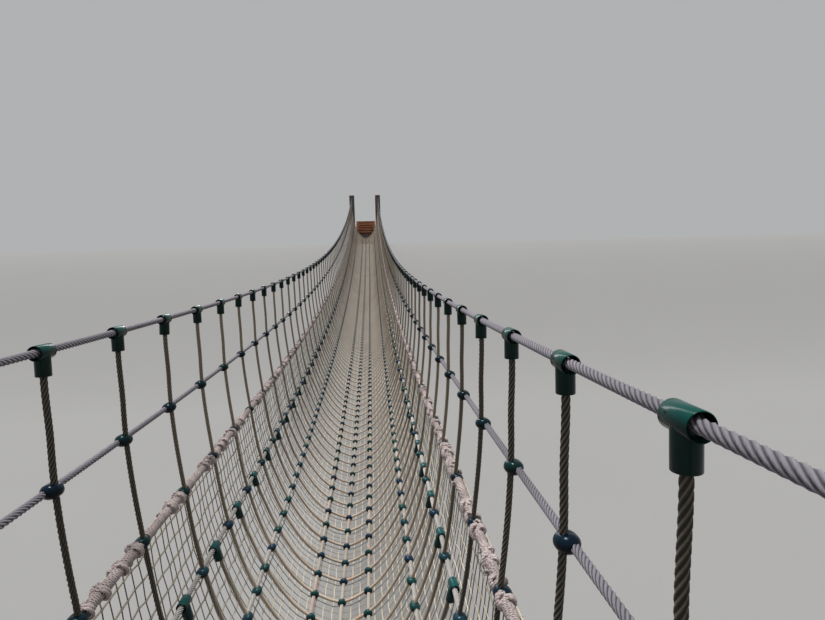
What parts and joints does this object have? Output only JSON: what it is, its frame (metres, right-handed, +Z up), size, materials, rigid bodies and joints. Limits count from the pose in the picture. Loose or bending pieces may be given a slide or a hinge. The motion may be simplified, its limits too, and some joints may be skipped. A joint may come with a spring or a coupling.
{
  "type": "rope suspension footbridge",
  "caption": "Sagging U-shaped rope footbridge with rope rails, hoops, a narrow rope tread and side netting, hung between two timber gateways with open steps.",
  "frame": {"origin": "on the ground, at the middle of the near sill beam's underside", "axes": "+Y along the bridge to the far gateway, +X to the right of someone walking that way, +Z up"},
  "size_m": [0.95, 36.83, 3.6002],
  "materials": {
    "handrail_rope": "grey six-strand rope with a lavender cast, worn smooth on top",
    "side_rope": "brown-grey six-strand rope, weathered",
    "floor_rope": "beige six-strand rope, scuffed by feet",
    "netting": "thin beige cord net, dusty",
    "connector_plastic": "glossy dark green moulded plastic",
    "post_timber": "dark weathered reddish-brown timber",
    "step_timber": "worn orange-brown timber",
    "anchor_steel": "dull galvanised steel"
  },
  "bodies": {
    "root": {"handrail_left": "handrail_rope", "mid_rail_left": "side_rope", "net_border_rope_left": "side_rope", "tee_rope_left": "side_rope", "lower_side_rope_left": "side_rope", "tread_rope_left": "floor_rope", "handrail_right": "handrail_rope", "mid_rail_right": "side_rope", "net_border_rope_right": "side_rope", "tee_rope_right": "side_rope", "lower_side_rope_right": "side_rope", "tread_rope_right": "floor_rope", "tread_rope_centre": "floor_rope", "net_panel_1": "netting", "net_panel_2": "netting", "net_panel_3": "netting", "net_panel_4": "netting", "net_panel_5": "netting", "net_panel_6": "netting", "net_panel_7": "netting", "net_panel_8": "netting", "net_panel_9": "netting", "net_panel_10": "netting", "net_panel_11": "netting", "net_panel_12": "netting", "near_sill": "post_timber", "near_post_left": "post_timber", "near_anchor_plate_left": "anchor_steel", "near_stringer_left": "step_timber", "near_post_right": "post_timber", "near_anchor_plate_right": "anchor_steel", "near_stringer_right": "step_timber", "near_anchor_plate_sill": "anchor_steel", "near_bearer": "step_timber", "near_tread_1": "step_timber", "near_tread_2": "step_timber", "near_tread_3": "step_timber", "near_tread_4": "step_timber", "near_tread_5": "step_timber", "far_sill": "post_timber", "far_post_left": "post_timber", "far_anchor_plate_left": "anchor_steel", "far_stringer_left": "step_timber", "far_post_right": "post_timber", "far_anchor_plate_right": "anchor_steel", "far_stringer_right": "step_timber", "far_anchor_plate_sill": "anchor_steel", "far_bearer": "step_timber", "far_tread_1": "step_timber", "far_tread_2": "step_timber", "far_tread_3": "step_timber", "far_tread_4": "step_timber", "far_tread_5": "step_timber"}
  },
  "joints": []
}
